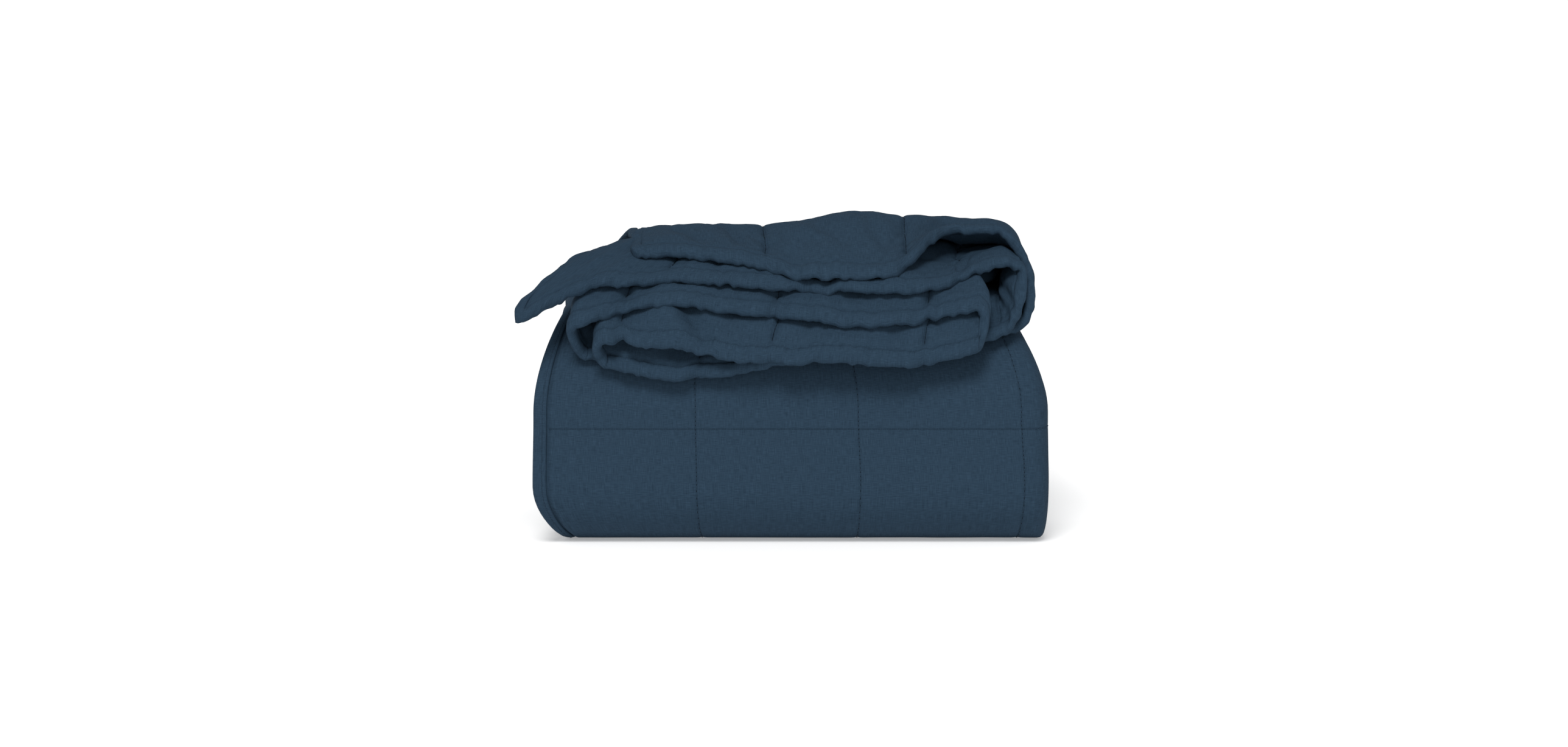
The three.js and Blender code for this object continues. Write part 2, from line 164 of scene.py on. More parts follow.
# The loose turn's crest over the brow: the top ply's lift at even places across it
CREST_LEFT, CREST_RIGHT = -150.0, 180.0
CREST_LIFT = (-2, 7, 6, 7, 8, 13, 17, 14, 9, 6, 1)
CREST_AT, CREST_SPREAD = -4.0, 22.0  # angles past the brow
CREST_FADE = 70.0  # length over which it dies away to the end hem
CURL, CURL_OVER = 3.0, 25.0  # of the top ply's hem
TOP_CORNER, LEAF_CORNER = 14.0, 24.0  # radii of the end hem's two corners


class Dent(NamedTuple):
    """A push on the loose cloth, at a width u and a distance from the end hem, and its spreads."""

    u: float
    from_hem: float
    spread_u: float
    spread_v: float
    x: float  # push sideways
    out: float  # and out of the strip


DENTS = [
    Dent(300, 34, 50, 18, 0, -17),  # the top ply sinks behind its lifted right end
    Dent(0, 58, 42, 42, 0, -4),  # and at its free edge
    Dent(1925, 50, 50, 30, 0, -11),  # the leaf sinks behind its right end, with the plies under it
    Dent(1085, 79, 45, 30, 0, -10),
    Dent(1190, 105, 45, 32, 0, -5),
    Dent(1762, 85, 45, 32, 0, -2),
    Dent(1836, 44, 30, 22, -9, 0),  # the middle right fold's wall
    Dent(1138, 54, 45, 26, -18, 0),  # the inner right fold draws back from it
    Dent(1138, 0, 40, 20, -6, 0),  # the mouths of three side folds are drawn in
    Dent(1469, 0, 40, 17, 9, 0),
    Dent(782, 0, 40, 17, 9, 0),
    Dent(2280, 20, 30, 13, -5, 0),  # the leaf's free edge swells just behind its corner
]

# The cloth's surface
SEAM_DEPTH_NEAT, SEAM_DEPTH_RUMPLED = 0.65, 2.2  # of a stitch line's groove on each side
SEAM_WIDTH_NEAT, SEAM_WIDTH_RUMPLED = 1.5, 1.8
ROW_SHARE = 0.4  # of that depth, for the stitch lines across the strip
CINCH, CINCH_SPREAD = 2.4, 8.0  # how far a stitch line along the strip draws the loose cloth in
TUCK_NEAT, TUCK_RUMPLED = 0.4, 2.0  # half the cloth's thickness inside the binding
TUCK_INSET = 6.0  # how far inside the edge the cloth ends, in the binding
TUCK_CLEAR, TUCK_FADE = 0.5, 3.5  # how far past the binding it starts to thicken, and over what width
RUMPLED_FROM, RUMPLED_OVER = 1390.0, 130.0  # where the end of the strip gets rumpled
BILLOW, BILLOW_FADE = 1.6, 25.0  # of a loose box between its stitch lines, down to nothing at its rows
HEM_ROLL, HEM_ROLL_AT, HEM_ROLL_WIDTH = 1.2, 6.0, 6.0  # the end hem's stuffed edge
HEM_DIP, HEM_DIP_AT, HEM_DIP_WIDTH = 0.8, 19.0, 7.0  # and the dip behind it
HEM_STUFFING, HEM_STUFFED_TO = 1.1, 34.0  # added to half its thickness, and how far in
HEM_PUCKER_FADE, SEAM_PUCKER_FADE = 16.0, 10.0
NEAT_PUCKER_SHARE = 0.08  # of the seams' puckers, where the strip is pressed
PUCKER_STRETCH = 0.35  # a hump's width as a share of its length
NOTCH_DEPTH, NOTCH_WIDTH = 3.5, 7.0  # where a stitch line draws the hem in
HEM_DRAWN_IN, HEM_DRAWN_OVER = 2.2, 60.0  # all along the hem, and how far in that reaches
CORNER_CALM = 40.0  # width at the hem's ends where it grows even
NEAT_NOISE, RUMPLED_NOISE = 0.12, 2.6  # how far wrinkles stand off, pressed and loose


class Lumps(NamedTuple):
    """A layer of seeded noise."""

    height: float
    grain: float
    seed: int


NOISE_MEAN = 0.35  # size of noise on the whole, as a share of its height
CRINKLE = Lumps(0.25, 5, 14)
HEM_PUCKERS = Lumps(1.3, 9, 21)
LINE_PUCKERS, ROW_PUCKERS = Lumps(1.6, 8, 23), Lumps(1.6, 8, 25)
SEAM_STRAY = [Lumps(1.7, 23, 8), Lumps(1.02, 9, 9)]  # of a loose stitch line to either side
HEM_UNEVEN = [Lumps(1.0, 26, 11), Lumps(0.9, 9, 12), Lumps(0.8, 4, 13)]
SOFT_WRINKLES = [Lumps(0.55, 34, 3), Lumps(0.25, 12, 4)]  # shares of the wrinkles' height
RIDGES = Lumps(0.9, 31, 7)
RIDGE_SHIFT_U, RIDGE_SHIFT_V = Lumps(10, 22, 5), Lumps(10, 22, 6)  # which bends the ridges
BINDING_LUMPS = [Lumps(0.1, 6, 31), Lumps(0.1, 17, 32)]  # shares of its thickness


class Crease(NamedTuple):
    """A soft trough in the seen side, from one place (width u and distance from the end hem) to another.
    A depth under 0 makes a ridge."""

    start: tuple
    end: tuple
    depth: float
    width: float


CREASES = [
    Crease((40, 46), (62, 22), 2.0, 5),  # on ply 5
    Crease((82, 58), (98, 26), 2.6, 5),
    Crease((160, 62), (186, 34), 2.2, 7),
    Crease((205, 70), (222, 30), 2.0, 6),
    Crease((268, 60), (290, 30), 2.0, 6),
    Crease((870, 30), (900, 10), 1.2, 7),  # on ply 3
    Crease((1000, 36), (1040, 14), 1.2, 8),
    Crease((1226, 34), (1218, 6), 1.2, 6),  # on ply 2
    Crease((1300, 40), (1262, 22), 1.6, 9),
    Crease((1370, 46), (1342, 42), 3.5, 11),
    Crease((1405, 44), (1371, 8), 5.0, 7),
    Crease((1422, 40), (1390, 10), -3.5, 9),
    Crease((1590, 30), (1602, 4), 1.4, 6),  # on ply 1
    Crease((1648, 28), (1640, 4), 1.2, 6),
    Crease((1804, 46), (1812, 6), 4.0, 5),  # on the middle right fold
    Crease((1824, 44), (1822, 4), 6.0, 5),
    Crease((1868, 40), (1872, 4), 2.6, 6),
    Crease((1914, 34), (1918, 8), 2.5, 5),  # on ply 4
    Crease((1975, 36), (2000, 10), 1.2, 8),
    Crease((2100, 40), (2130, 14), 1.4, 8),
    Crease((2200, 70), (2225, 24), 1.6, 9),
]

# Stitches
LINE_PITCH, ROW_PITCH, BINDING_PITCH = 3.1, 4.1, 2.6  # along the strip, across it, on the binding
LINE_HOLE, ROW_HOLE, BINDING_HOLE = 0.45, 0.36, 0.25  # half a needle hole's length
STITCH_SHARE = 0.72  # of the pitch that a stitch covers
STITCH_HALF_WIDTH = 0.3
THREAD_CLEAR = 0.8  # a thread lies as high as the groove is this far from its middle
EDGE_STITCH_INSET = 6.8  # of the binding's stitch line from the edge
LINE_STOP, ROW_STOP = BINDING_WIDTH + 2, BINDING_WIDTH + 1  # where stitch lines end, from the edge

# The photograph's view
PHOTO_WIDTH_PX = 2576
MM_PER_PX = 0.451
CAMERA_DISTANCE = 2.6
CAMERA_ELEVATION = 7.0
CAMERA_TARGET = (-0.0013, -0.098, 0.118)
SENSOR_MM = 36.0

# Light
FLOOR_SIZE = 120.0  # metres, so that its far edge is out of sight
KEY_FROM, FILL_FROM = (-0.35, -2.1, 2.6), (0.25, -2.1, 0.1)  # directions to the lights
KEY_BREADTH, FILL_BREADTH = 22.0, 40.0  # degrees
KEY_STRENGTH, FILL_STRENGTH = 2.1, 0.55
SKY_STRENGTH = 0.45


def lerp(a, b, t):
    return a + (b - a) * t


def ease(t):
    t = np.clip(t, 0, 1)
    return t * t * (3 - 2 * t)


def bump(distance, width):
    return np.exp(-((distance / width) ** 2))


def noise(u, v, lumps):
    """Smooth seeded noise up to a height either way, in lumps about a grain wide."""
    cells = 64
    table = np.random.default_rng(lumps.seed).uniform(-1, 1, (cells, cells))
    i, j = np.floor(u / lumps.grain).astype(int), np.floor(v / lumps.grain).astype(int)
    s, t = ease(u / lumps.grain - i), ease(v / lumps.grain - j)

    def value(a, b):
        return table[(i + a) % cells, (j + b) % cells]

    low, high = lerp(value(0, 0), value(1, 0), s), lerp(value(0, 1), value(1, 1), s)
    return lumps.height * lerp(low, high, t)


def layered(u, v, layers):
    return sum(noise(u, v, lumps) for lumps in layers)


class Strip(NamedTuple):
    """The rolled strip at lengths along its path."""

    y: np.ndarray
    z: np.ndarray
    out_y: np.ndarray
    out_z: np.ndarray
    left: np.ndarray
    right: np.ndarray
    rounded: np.ndarray


def survey_path():
    """Where each row of the path starts: length, then y, z and heading."""
    s, y, z, heading = 0.0, TAIL_Y, BASE_Z + 2 * LAYER_PITCH, math.pi
    starts = []
    for way in PATH:
        starts.append((s, y, z, heading))
        turned = heading + math.radians(way.turn)
        y += way.run * math.cos(heading) + way.radius * (math.sin(turned) - math.sin(heading))
        z += way.run * math.sin(heading) + way.radius * (math.cos(heading) - math.cos(turned))
        s += way.run + way.radius * math.radians(way.turn)
        heading = turned
    return np.array(starts).T


PATH_S, PATH_Y, PATH_Z, PATH_HEADING = survey_path()
PATH_RUN, PATH_RADIUS, PATH_LEFT, PATH_RIGHT, PATH_ROUNDED = (
    np.array([getattr(way, field) for way in PATH])
    for field in ("run", "radius", "left", "right", "rounded")
)
PATH_LENGTH = PATH_RUN + PATH_RADIUS * np.radians([way.turn for way in PATH])


def path_start(part):
    return PATH_S[[way.part for way in PATH].index(part)]


BROW_FROM, BASE_FROM = path_start("brow"), path_start("base")
HEEL_FROM, BACK_FROM = path_start("heel"), path_start("back")
SLIP_FROM, DROOP_FROM = path_start("loose run"), path_start("droop")


def strip_at(s):
    row = np.clip(np.searchsorted(PATH_S, s, side="right") - 1, 0, len(PATH) - 1)
    along = s - PATH_S[row]
    start, radius = PATH_HEADING[row], PATH_RADIUS[row]
    straight = radius == 0
    heading = start + np.where(straight, 0, along / np.where(straight, 1, radius))
    run_on = np.where(straight, along, 0)
    t = ease(along / PATH_LENGTH[row])
    before = np.maximum(row - 1, 0)
    return Strip(
        y=PATH_Y[row] + run_on * np.cos(start) + radius * (np.sin(heading) - np.sin(start)),
        z=PATH_Z[row] + run_on * np.sin(start) + radius * (np.cos(start) - np.cos(heading)),
        out_y=np.sin(heading),
        out_z=-np.cos(heading),
        left=lerp(PATH_LEFT[before], PATH_LEFT[row], t),
        right=lerp(PATH_RIGHT[before], PATH_RIGHT[row], t),
        rounded=lerp(PATH_ROUNDED[before], PATH_ROUNDED[row], t),
    )


def loosened_at(s):
    return ease((s - BACK_FROM) / (SLIP_FROM - BACK_FROM))


def smooth_along(values, t):
    """A smooth curve through values at even stations."""
    values = np.array(values, float)
    last = len(values) - 1
    i = np.clip(np.floor(t * last).astype(int), 0, last - 1)
    f = t * last - i
    a, b = values[np.maximum(i - 1, 0)], values[i]
    c, d = values[i + 1], values[np.minimum(i + 2, last)]
    return b + 0.5 * f * (c - a + f * (2 * a - 5 * b + 4 * c - d + f * (3 * (b - c) + d - a)))


def bezier(p0, p1, p2, p3, t):
    k = 1 - t
    return k**3 * p0 + 3 * k * k * t * p1 + 3 * k * t * t * p2 + t**3 * p3


def walk_section(u, ends, ply_point, fold_point):
    """The points of a folded section at widths u, row by row."""
    points = np.zeros((3, u.size))
    start = np.zeros(u.size)
    for i, row in enumerate(HEM):
        t = np.clip((u - start) / (ends[i] - start), 0, 1)
        point = ply_point(i, t) if isinstance(row, Ply) else fold_point(i, t)
        points = np.where(u >= start, point, points)
        start = ends[i]
    return points


def hem_ply(i, t):
    row = HEM[i]
    return np.array([lerp(*row.x, t), smooth_along(row.lift, t), smooth_along(row.droop, t)])


def hem_fold(i, t):
    """A fold of the hem carries on the slopes of the plies it joins."""
    first, last, nudge = np.array([0.0]), np.array([1.0]), 0.01
    start, end = hem_ply(i - 1, last), hem_ply(i + 1, first)
    start_slope = start - hem_ply(i - 1, last - nudge)
    end_slope = end - hem_ply(i + 1, first + nudge)
    reach = HEM[i].bulge
    p1 = start + start_slope * reach / np.abs(start_slope[0])
    p2 = end + end_slope * reach / np.abs(end_slope[0])
    return bezier(start, p1, p2, end, t)


def ply_level(i):
    return (HEM[i].ply - 2.5) * PLY_PITCH


def pressed_section(u, ends, strip):
    """The pressed strip's section, whose folds nest one ply pitch inside each other."""
    last = len(HEM) - 1

    def depth(i):
        spanned = abs(ply_level(i - 1) - ply_level(i + 1))
        return np.maximum(strip.rounded * spanned / 2, PLY_PITCH / 2)

    def fold_x(i):
        inside = PUFF_THICKNESS / 2 + HEM[i].nest * PLY_PITCH + depth(i)
        return strip.right - inside if HEM[i].side > 0 else strip.left + inside

    def ply_point(i, t):
        start = strip.left if i == 0 else fold_x(i - 1)
        end = strip.left + LEAF_EDGE_INSET if i == last else fold_x(i + 1)
        level = np.full(u.size, ply_level(i))
        drawn = np.clip(strip.left - NEAT_LEFT, 0, DRAWN_IN) if i == 0 else 0.0
        x = lerp(start - drawn, end, t) + drawn * (1 - t) ** DRAWN_POWER
        return np.array([x, level, 0 * level])

    def fold_point(i, t):
        low, high = ply_level(i - 1), ply_level(i + 1)
        reach = HEM[i].side * 4 / 3 * depth(i)
        x = fold_x(i) + reach * 3 * t * (1 - t)
        return np.array([x, bezier(low, low, high, high, t), 0 * x])

    return walk_section(u, ends, ply_point, fold_point)


def middle(u, v):
    """The cloth's middle surface: sideways x, and how far out of the strip's middle it is."""
    u, v = round_corner(u, v)
    hem_x, hem_lift, hem_droop = walk_section(u, [row.ends for row in HEM], hem_ply, hem_fold)
    hem_s = DROOP_FROM + DROOP_RADIUS * np.radians(hem_droop)
    slip = np.clip((v - SLIP_FROM) / (CUT_LENGTH - SLIP_FROM), 0, 1)
    s = v + (hem_s - CUT_LENGTH) * slip
    strip, loosened = strip_at(s), loosened_at(s)
    ends = [lerp(row.pressed, row.ends, loosened) for row in HEM]
    ends[0] = ends[0] + SQUARE_GAIN * np.maximum(SQUARE_FROM - strip.rounded, 0)
    x, level, _ = pressed_section(u, ends, strip)
    from_hem = CUT_LENGTH - v
    skewed = np.clip(1 - from_hem / SKEWS_OVER, 0, 1) ** SKEW_POWER
    parted = ease(1 - from_hem / LOOSENS_OVER)
    x = lerp(x, hem_x, skewed)
    out = lerp(level, hem_lift + LIFT_TO_OFFSET, parted)
    share = np.clip(0.5 + level / (5 * PLY_PITCH), 0, 1)
    out = out + share**2 * crest_at(x, s, from_hem) - share * curl_at(from_hem)
    for dent in DENTS:
        near = bump(u - dent.u, dent.spread_u) * bump(from_hem - dent.from_hem, dent.spread_v)
        x, out = x + dent.x * near, out + dent.out * near
    return x, out, strip


def round_corner(u, v):
    """Draws the square corners of the end hem in to round ones."""
    first = u < CUT_WIDTH / 2
    radius = np.where(first, TOP_CORNER, LEAF_CORNER)
    across = np.clip(1 - np.minimum(u, CUT_WIDTH - u) / radius, 0, 1)
    along = np.clip(1 - (CUT_LENGTH - v) / radius, 0, 1)
    inward = radius * across * (1 - np.sqrt(1 - along**2 / 2))
    back = radius * along * (1 - np.sqrt(1 - across**2 / 2))
    return np.where(first, u + inward, u - inward), v - back


def crest_at(x, s, from_hem):
    across = np.clip((x - CREST_LEFT) / (CREST_RIGHT - CREST_LEFT), 0, 1)
    past_brow = np.degrees((s - DROOP_FROM) / DROOP_RADIUS)
    lift = smooth_along(CREST_LIFT, across) * bump(past_brow - CREST_AT, CREST_SPREAD)
    return lift * ease(from_hem / CREST_FADE)


def curl_at(from_hem):
    return CURL * np.clip(1 - from_hem / CURL_OVER, 0, 1) ** 2


def cloth(u, v, offset):
    """Places of the cloth in metres, offset to the face side of its middle surface."""
    u, v = np.clip(u, 0, CUT_WIDTH), np.clip(v + hem_draw(u, v), 0, CUT_LENGTH)
    nudge = 0.5
    x, out, strip = middle(u, v)
    x0, out0, _ = middle(np.maximum(u - nudge, 0), v)
    x1, out1, _ = middle(np.minimum(u + nudge, CUT_WIDTH), v)
    length = np.hypot(x1 - x0, out1 - out0)
    x = x - (out1 - out0) / length * offset
    out = out + (x1 - x0) / length * offset
    y = strip.y + strip.out_y * out
    z = np.maximum(strip.z + strip.out_z * out, 0)
    return np.stack([x - FOOTPRINT_MIDDLE[0], y - FOOTPRINT_MIDDLE[1], z], axis=-1) / 1000


def from_edge(u, v):
    return np.minimum(np.minimum(u, CUT_WIDTH - u), np.minimum(v, CUT_LENGTH - v))


def from_line(place, first):
    """Distance to the nearest stitch line of a set one box apart."""
    return np.abs((place - first + BOX / 2) % BOX - BOX / 2)


def rumpled_at(v):
    return ease((v - RUMPLED_FROM) / RUMPLED_OVER)


def hem_draw(u, v):
    """How far the stitch lines draw the end hem in, and the hem's own unevenness."""
    near = ease(1 - (CUT_LENGTH - v) / HEM_DRAWN_OVER)
    near = near * ease(np.minimum(u, CUT_WIDTH - u) / CORNER_CALM)
    notch = NOTCH_DEPTH * np.exp(-from_line(u, 0) / NOTCH_WIDTH)
    return -near * (notch + HEM_DRAWN_IN + layered(u, 0 * u, HEM_UNEVEN))


def upward(u):
    """1 where the cloth's face side is turned up and out, -1 where its back side is."""
    widths, sides, start = [], [], 0.0
    for row in HEM:
        if isinstance(row, Ply):
            side = 1.0 if row.ply % 2 else -1.0
            widths += [start, row.ends]
            sides += [side, side]
        start = row.ends
    return np.interp(u, widths, sides)


def puckers(along, away, lumps, fade):
    """Short humps square to a seam with sharp valleys between them, fading away from it."""
    hump = np.abs(noise(along, PUCKER_STRETCH * away, lumps))
    return 2 * (hump - NOISE_MEAN * lumps.height) * np.exp(-away / fade)


def line_stray(u, v):
    """How far the nearest stitch line along the strip strays sideways."""
    line = np.round(u / BOX)
    return rumpled_at(v) * sum(noise(v, lumps.grain * line, lumps) for lumps in SEAM_STRAY)


def hem_roll(from_hem):
    roll = HEM_ROLL * bump(from_hem - HEM_ROLL_AT, HEM_ROLL_WIDTH)
    return roll - HEM_DIP * bump(from_hem - HEM_DIP_AT, HEM_DIP_WIDTH)


def wrinkles(u, v):
    """Soft lumps and a few sharper ridges, in no order."""
    shifted_u, shifted_v = u + noise(u, v, RIDGE_SHIFT_U), v + noise(u, v, RIDGE_SHIFT_V)
    ridges = NOISE_MEAN * RIDGES.height - np.abs(noise(shifted_u, shifted_v, RIDGES))
    return layered(u, v, SOFT_WRINKLES) + ridges


def crease_depth(u, v):
    total = np.zeros(u.size)
    away = CUT_LENGTH - v
    for crease in CREASES:
        (u0, d0), (u1, d1) = crease.start, crease.end
        length = math.hypot(u1 - u0, d1 - d0)
        t = ((u - u0) * (u1 - u0) + (away - d0) * (d1 - d0)) / length**2
        near = np.clip(t, 0, 1)
        off = np.hypot(u - lerp(u0, u1, near), away - lerp(d0, d1, near))
        total += crease.depth * bump(off, crease.width)
    return total


def ripple(u, v):
    """How far the whole cloth stands off its smooth folds, to its face side."""
    rumpled = rumpled_at(v)
    across, along = from_line(u - line_stray(u, v), 0), from_line(v, FIRST_ROW)
    billow = BILLOW * np.sin(np.pi * u / BOX) ** 2 * np.clip(along / BILLOW_FADE, 0, 1)
    cinch = CINCH * np.exp(-across / CINCH_SPREAD)
    hem = puckers(u, CUT_LENGTH - v, HEM_PUCKERS, HEM_PUCKER_FADE)
    seams = puckers(v, across, LINE_PUCKERS, SEAM_PUCKER_FADE)
    seams = seams + puckers(u, along, ROW_PUCKERS, SEAM_PUCKER_FADE)
    seams = seams * lerp(NEAT_PUCKER_SHARE, 1, rumpled)
    wrinkled = lerp(NEAT_NOISE, RUMPLED_NOISE, rumpled) * wrinkles(u, v)
    crinkled = rumpled * noise(u, v, CRINKLE)
    raised = rumpled * (billow - cinch - crease_depth(u, v) + hem_roll(CUT_LENGTH - v))
    return wrinkled + crinkled + (hem + seams + raised) * upward(u)


def stuffed_at(v):
    """1 at the end hem, which is stuffed full, down to 0 further in."""
    return rumpled_at(v) * ease(1 - (CUT_LENGTH - v) / HEM_STUFFED_TO)


def quilt_half(u, v):
    """Half the cloth's thickness: full in a box, drawn in on stitch lines, tucked in at the binding."""
    rumpled = rumpled_at(v)
    depth = lerp(SEAM_DEPTH_NEAT, SEAM_DEPTH_RUMPLED, rumpled)
    width = lerp(SEAM_WIDTH_NEAT, SEAM_WIDTH_RUMPLED, rumpled)
    along, across = from_line(u - line_stray(u, v), 0), from_line(v, FIRST_ROW)
    groove = np.maximum(np.exp(-along / width), ROW_SHARE * np.exp(-across / width))
    puffed = PUFF_THICKNESS / 2 + HEM_STUFFING * stuffed_at(v) - depth * groove
    inside = ease((from_edge(u, v) - BINDING_WIDTH - TUCK_CLEAR) / TUCK_FADE)
    return lerp(lerp(TUCK_NEAT, TUCK_RUMPLED, rumpled), puffed, inside)


class Zone(NamedTuple):
    """A stretch of the flat quilt and the cells wanted there, across and along, on face and back."""

    u: tuple
    v: tuple
    face: tuple
    back: tuple


HIDDEN, LOWER, PLAIN, FINE = (20, 10), (10, 5), (5, 5), (2.5, 2.5)
TURNED, FOLDED = (40, 10), (5, 40)  # in a turn of the strip, and in a fold between plies
NARROW, SHALLOW = (1.25, 2.5), (5, 1.25)  # on a stitch line along the strip, and on one across it
CELL_SLACK = 1.05  # a cell may be this much larger
LINE_ZONE, HEM_LINE_ZONE, PUCKER_ZONE = 3.0, 4.0, 11.0  # either side of a stitch line
EDGE_ZONE, TOE_ZONE = 16.0, 60.0  # at the front's bound edge, and up from the lower edge at its fold
HEM_SHOWN = {5: 160, 4: 105, 3: 80, 2: 80, 1: 75, 0: 45}  # of each ply, from the end hem
FOLDS_SHOWN, HEM_LINES_SHOWN = 70.0, 55.0
UNDER_FRONT, UNDER_BACK = 20.0, 40.0  # how far the outer ply's cells go on under the pile
ALL_U, ALL_V = (0, CUT_WIDTH), (0, CUT_LENGTH)


def turn_zones():
    ends = PATH_S + PATH_LENGTH
    return [
        Zone(ALL_U, (PATH_S[i], ends[i]), TURNED, TURNED)
        for i, way in enumerate(PATH)
        if way.turn
    ]


def hem_zones():
    zones, start = [], 0.0
    for row in HEM:
        if isinstance(row, Fold):
            shown = (CUT_LENGTH - FOLDS_SHOWN, CUT_LENGTH)
            zones.append(Zone((start, row.ends), ALL_V, FOLDED, FOLDED))
            zones.append(Zone((start, row.ends), shown, FINE, FINE))
        else:
            shown = (CUT_LENGTH - HEM_SHOWN[row.ply], CUT_LENGTH)
            sides = (FINE, LOWER) if row.ply % 2 else (LOWER, FINE)
            zones.append(Zone((start, row.ends), shown, *sides))
        start = row.ends
    return zones


def around(place, reach):
    return (place - reach, place + reach)


def hem_line_zones():
    """Narrow cells where the stitch lines along the strip reach the end hem."""
    shown = (CUT_LENGTH - HEM_LINES_SHOWN, CUT_LENGTH)
    lines = np.arange(BOX, CUT_WIDTH, BOX)
    return [Zone(around(u, HEM_LINE_ZONE), shown, NARROW, NARROW) for u in lines]


def outer_zones():
    """The outer ply on the front, the back and the top, with small cells at its edge and stitch lines."""
    outer = (0, HEM[1].ends)
    front, back_and_top = (BROW_FROM, BASE_FROM + UNDER_FRONT), (HEEL_FROM - UNDER_BACK, CUT_LENGTH)
    lines, rows = np.arange(BOX, HEM[1].ends, BOX), np.arange(FIRST_ROW, CUT_LENGTH, BOX)
    zones = [Zone((0, EDGE_ZONE), front, NARROW, HIDDEN)]
    zones.append(Zone((HEM[0].pressed, HEM[1].ends), (BASE_FROM - TOE_ZONE, front[1]), FINE, HIDDEN))
    for shown in (front, back_and_top):
        zones.append(Zone(outer, shown, PLAIN, HIDDEN))
        zones += [Zone(around(u, LINE_ZONE), shown, NARROW, HIDDEN) for u in lines]
        shown_rows = rows[(rows > shown[0]) & (rows < shown[1])]
        zones += [Zone(outer, around(v, LINE_ZONE), SHALLOW, HIDDEN) for v in shown_rows]
    zones += [Zone(around(u, PUCKER_ZONE), front, FINE, HIDDEN) for u in lines]
    return zones


def zones():
    return turn_zones() + hem_zones() + hem_line_zones() + outer_zones()


BLOCK = BOX / 3
EDGE_BLOCK = 8.0  # a narrower block at the edge is joined to the next
LARGEST_CELL = BLOCK + 1
FINEST = 32  # lattice steps in a block


def block_lines(total, first):
    """Lattice lines of blocks a third of a box wide, with the stitch lines among them."""
    low, high = TUCK_INSET, total - TUCK_INSET
    lines = np.arange(first % BLOCK, high, BLOCK)
    inner = lines[(lines > low + EDGE_BLOCK) & (lines < high - EDGE_BLOCK)]
    ends = np.concatenate([[low], inner, [high]])
    steps = np.arange(len(ends) * FINEST - FINEST + 1) / FINEST
    return np.interp(steps, np.arange(len(ends)), ends)


def split_cells(widths, lengths, wants):
    """Lattice rectangles (i0, i1, j0, j1), halved until none is larger than the zones want."""
    i = np.arange(0, len(widths) - 1, FINEST)
    j = np.arange(0, len(lengths) - 1, FINEST)
    grid = np.stack(np.meshgrid(i, j, indexing="ij"), axis=-1).reshape(-1, 2)
    cells = np.column_stack([grid[:, 0], grid[:, 0] + FINEST, grid[:, 1], grid[:, 1] + FINEST])
    for axis in (0, 1) * int(math.log2(FINEST)):
        lines = (widths, lengths)[axis]
        low, high = 2 * axis, 2 * axis + 1
        size = lines[cells[:, high]] - lines[cells[:, low]]
        wanted = np.full(len(cells), LARGEST_CELL)
        for u, v, cell in wants:
            meets = (widths[cells[:, 1]] > u[0]) & (widths[cells[:, 0]] < u[1])
            meets &= (lengths[cells[:, 3]] > v[0]) & (lengths[cells[:, 2]] < v[1])
            wanted[meets] = np.minimum(wanted[meets], cell[axis] * CELL_SLACK)
        cut = (size > wanted) & (cells[:, high] - cells[:, low] > 1)
        lower, upper = cells[cut].copy(), cells[cut].copy()
        half = (lower[:, low] + lower[:, high]) // 2
        lower[:, high], upper[:, low] = half, half
        cells = np.concatenate([cells[~cut], lower, upper])
    return cells


def mark_corners(shape, cells):
    used = np.zeros(shape, bool)
    for i in (0, 1):
        for j in (2, 3):
            used[cells[:, i], cells[:, j]] = True
    return used


def cell_outline(used, numbers, cell):
    """A cell's corners and the neighbours' corners on its edges, in order round it."""
    i0, i1, j0, j1 = cell
    rows = [
        (numbers[i0:i1, j0], used[i0:i1, j0], 1),
        (numbers[i1, j0:j1], used[i1, j0:j1], 1),
        (numbers[i0 + 1 : i1 + 1, j1], used[i0 + 1 : i1 + 1, j1], -1),
        (numbers[i0, j0 + 1 : j1 + 1], used[i0, j0 + 1 : j1 + 1], -1),
    ]
    return [n for edge, on, step in rows for n in edge[on][::step].tolist()]


def rim_loop(numbers, used):
    """The used lattice points round the sheet's edge, in order."""
    last_i, last_j = numbers.shape[0] - 1, numbers.shape[1] - 1
    walk = [(i, 0) for i in range(last_i)]
    walk += [(last_i, j) for j in range(last_j)]
    walk += [(i, last_j) for i in range(last_i, 0, -1)]
    walk += [(0, j) for j in range(last_j, 0, -1)]
    return [numbers[place] for place in walk if used[place]]


def make_mesh(name, points, faces, flat, materials):
    """A smooth mesh object whose texture coordinates are its places on the flat quilt, in metres."""
    mesh = bpy.data.meshes.new(name)
    mesh.from_pydata(points.tolist(), [], faces)
    mesh.update()
    corners = np.zeros(len(mesh.loops), np.int32)
    mesh.loops.foreach_get("vertex_index", corners)
    layer = mesh.uv_layers.new(name="flat")
    layer.data.foreach_set("uv", (flat[corners] / 1000).astype(np.float32).ravel())
    mesh.polygons.foreach_set("use_smooth", np.ones(len(mesh.polygons), bool))
    for material in materials:
        mesh.materials.append(material)
    made = bpy.data.objects.new(name, mesh)
    bpy.context.scene.collection.objects.link(made)
    return made


def cells_by_side(widths, lengths):
    """The cells of the cloth's face, side 1, and of its back, side -1."""
    wanted = zones()
    return {
        1: split_cells(widths, lengths, [(z.u, z.v, z.face) for z in wanted]),
        -1: split_cells(widths, lengths, [(z.u, z.v, z.back) for z in wanted]),
    }


def rim_faces(face, back):
    """The faces between the face's rim and the back's, which close the sheet."""
    ahead_face, ahead_back = face[1:] + face[:1], back[1:] + back[:1]
    return [list(corners) for corners in zip(face, ahead_face, ahead_back, back)]


